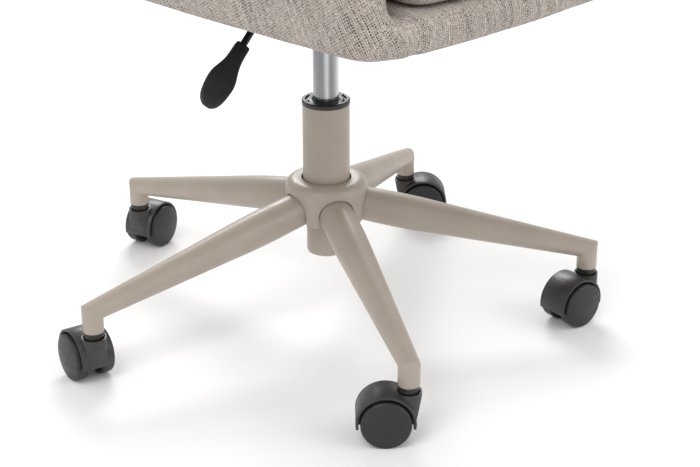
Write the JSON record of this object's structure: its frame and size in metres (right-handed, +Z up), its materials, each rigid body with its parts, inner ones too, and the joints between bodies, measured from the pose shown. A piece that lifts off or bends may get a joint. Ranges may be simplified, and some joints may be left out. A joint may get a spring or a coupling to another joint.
{
  "type": "swivel tub chair",
  "caption": "Upholstered tub seat with wrap-around arms on a gas lift and a five-leg tube base with twin-wheel casters.",
  "frame": {"origin": "on the floor under the column, on the column's axis", "axes": "+Z up; the sitter faces -Y; the sitter's right, where the height lever is, is -X"},
  "size_m": [0.6123, 0.623, 0.85],
  "materials": {
    "base_paint": "warm taupe powder coat, satin with a fine texture",
    "bush_plastic": "black moulded nylon, satin",
    "bright_steel": "ground and polished steel",
    "zinc_steel": "zinc-plated steel",
    "stop_rubber": "black rubber",
    "plate_paint": "black powder coat",
    "frame_wood": "birch plywood",
    "lining_cloth": "black non-woven lining",
    "tub_fabric": "grey-beige slub weave with rows of dark flecks",
    "cushion_fabric": "grey-beige slub weave with rows of dark flecks, lighter",
    "lever_steel": "black lacquered steel wire",
    "lever_plastic": "black moulded plastic, satin",
    "hood_plastic": "dark grey moulded nylon",
    "wheel_plastic": "dark grey moulded nylon"
  },
  "bodies": {
    "base": {"hub_tube": "base_paint", "leg_1": "base_paint", "leg_2": "base_paint", "leg_3": "base_paint", "leg_4": "base_paint", "leg_5": "base_paint", "hub_cover": "base_paint", "column_tube": "base_paint", "column_bush": "bush_plastic", "bearing_race_lower": "zinc_steel", "stem_sleeves": "bush_plastic", "caster_stems": "bright_steel", "stem_rings": "zinc_steel"},
    "lift_rod": {"piston_rod": "bright_steel", "piston_head": "zinc_steel", "rod_clip": "zinc_steel", "bump_stop": "stop_rubber", "bearing_balls": "zinc_steel", "bearing_race_upper": "zinc_steel"},
    "seat": {"gas_cylinder": "bright_steel", "cylinder_gland": "bush_plastic", "taper_socket": "zinc_steel", "seat_plate": "plate_paint", "lever_bracket": "zinc_steel", "lever_pin": "zinc_steel", "seat_bolts": "zinc_steel", "bolt_washers": "zinc_steel", "tee_nuts": "zinc_steel", "seat_board": "frame_wood", "dust_cover": "lining_cloth", "tub_frame": "frame_wood", "tub_upholstery": "tub_fabric", "seat_rail": "tub_fabric", "seat_cushion": "cushion_fabric"},
    "lever": {"lever_rod": "lever_steel", "lever_handle": "lever_plastic"},
    "release_valve": {"release_pin": "bright_steel"},
    "caster_1": {"caster_1_hood": "hood_plastic", "caster_1_axle": "zinc_steel"},
    "caster_1_left": {"caster_1_wheel_left": "wheel_plastic"},
    "caster_1_right": {"caster_1_wheel_right": "wheel_plastic"},
    "caster_2": {"caster_2_hood": "hood_plastic", "caster_2_axle": "zinc_steel"},
    "caster_2_left": {"caster_2_wheel_left": "wheel_plastic"},
    "caster_2_right": {"caster_2_wheel_right": "wheel_plastic"},
    "caster_3": {"caster_3_hood": "hood_plastic", "caster_3_axle": "zinc_steel"},
    "caster_3_left": {"caster_3_wheel_left": "wheel_plastic"},
    "caster_3_right": {"caster_3_wheel_right": "wheel_plastic"},
    "caster_4": {"caster_4_hood": "hood_plastic", "caster_4_axle": "zinc_steel"},
    "caster_4_left": {"caster_4_wheel_left": "wheel_plastic"},
    "caster_4_right": {"caster_4_wheel_right": "wheel_plastic"},
    "caster_5": {"caster_5_hood": "hood_plastic", "caster_5_axle": "zinc_steel"},
    "caster_5_left": {"caster_5_wheel_left": "wheel_plastic"},
    "caster_5_right": {"caster_5_wheel_right": "wheel_plastic"}
  },
  "joints": [
    {"name": "seat_swivel", "type": "hinge", "parent": "base", "child": "lift_rod", "pos_m": [0, 0, 0.09], "axis": [0, 0, 1], "continuous": true},
    {"name": "seat_lift", "type": "slide", "parent": "lift_rod", "child": "seat", "axis": [0, 0, 1], "range_m": [-0.1, 0]},
    {"name": "lever_lift", "type": "hinge", "parent": "seat", "child": "lever", "pos_m": [-0.02898, -0.00777, 0.39389], "axis": [-0.2588, 0.9659, 0], "range_deg": [0, 6], "stiffness_Nm_per_rad": 6, "springref_deg": -4.58},
    {"name": "valve_press", "type": "slide", "parent": "seat", "child": "release_valve", "axis": [0, 0, 1], "range_m": [-0.0032, 0]},
    {"name": "caster_1_swivel", "type": "hinge", "parent": "base", "child": "caster_1", "pos_m": [-0.1435, -0.24855, 0.045], "axis": [0, 0, 1], "continuous": true},
    {"name": "caster_1_left_roll", "type": "hinge", "parent": "caster_1", "child": "caster_1_left", "pos_m": [-0.15878, -0.23272, 0.025], "axis": [-0.7193, -0.6947, 0], "continuous": true},
    {"name": "caster_1_right_roll", "type": "hinge", "parent": "caster_1", "child": "caster_1_right", "pos_m": [-0.15878, -0.23272, 0.025], "axis": [-0.7193, -0.6947, 0], "continuous": true},
    {"name": "caster_2_swivel", "type": "hinge", "parent": "base", "child": "caster_2", "pos_m": [0.19204, -0.21328, 0.045], "axis": [0, 0, 1], "continuous": true},
    {"name": "caster_2_left_roll", "type": "hinge", "parent": "caster_2", "child": "caster_2_left", "pos_m": [0.17025, -0.21022, 0.025], "axis": [-0.1392, -0.9903, 0], "continuous": true},
    {"name": "caster_2_right_roll", "type": "hinge", "parent": "caster_2", "child": "caster_2_right", "pos_m": [0.17025, -0.21022, 0.025], "axis": [-0.1392, -0.9903, 0], "continuous": true},
    {"name": "caster_3_swivel", "type": "hinge", "parent": "base", "child": "caster_3", "pos_m": [0.26219, 0.11673, 0.045], "axis": [0, 0, 1], "continuous": true},
    {"name": "caster_3_left_roll", "type": "hinge", "parent": "caster_3", "child": "caster_3_left", "pos_m": [0.27747, 0.10091, 0.025], "axis": [0.7193, 0.6947, 0], "continuous": true},
    {"name": "caster_3_right_roll", "type": "hinge", "parent": "caster_3", "child": "caster_3_right", "pos_m": [0.27747, 0.10091, 0.025], "axis": [0.7193, 0.6947, 0], "continuous": true},
    {"name": "caster_4_swivel", "type": "hinge", "parent": "base", "child": "caster_4", "pos_m": [-0.03, 0.28543, 0.045], "axis": [0, 0, 1], "continuous": true},
    {"name": "caster_4_left_roll", "type": "hinge", "parent": "caster_4", "child": "caster_4_left", "pos_m": [-0.00865, 0.29075, 0.025], "axis": [-0.2419, 0.9703, 0], "continuous": true},
    {"name": "caster_4_right_roll", "type": "hinge", "parent": "caster_4", "child": "caster_4_right", "pos_m": [-0.00865, 0.29075, 0.025], "axis": [-0.2419, 0.9703, 0], "continuous": true},
    {"name": "caster_5_swivel", "type": "hinge", "parent": "base", "child": "caster_5", "pos_m": [-0.28073, 0.05967, 0.045], "axis": [0, 0, 1], "continuous": true},
    {"name": "caster_5_left_roll", "type": "hinge", "parent": "caster_5", "child": "caster_5_left", "pos_m": [-0.27578, 0.08111, 0.025], "axis": [-0.9744, 0.225, 0], "continuous": true},
    {"name": "caster_5_right_roll", "type": "hinge", "parent": "caster_5", "child": "caster_5_right", "pos_m": [-0.27578, 0.08111, 0.025], "axis": [-0.9744, 0.225, 0], "continuous": true}
  ],
  "couplings": [
    {"joint": "valve_press", "follows": "lever_lift", "m_per_rad": -0.03}
  ]
}
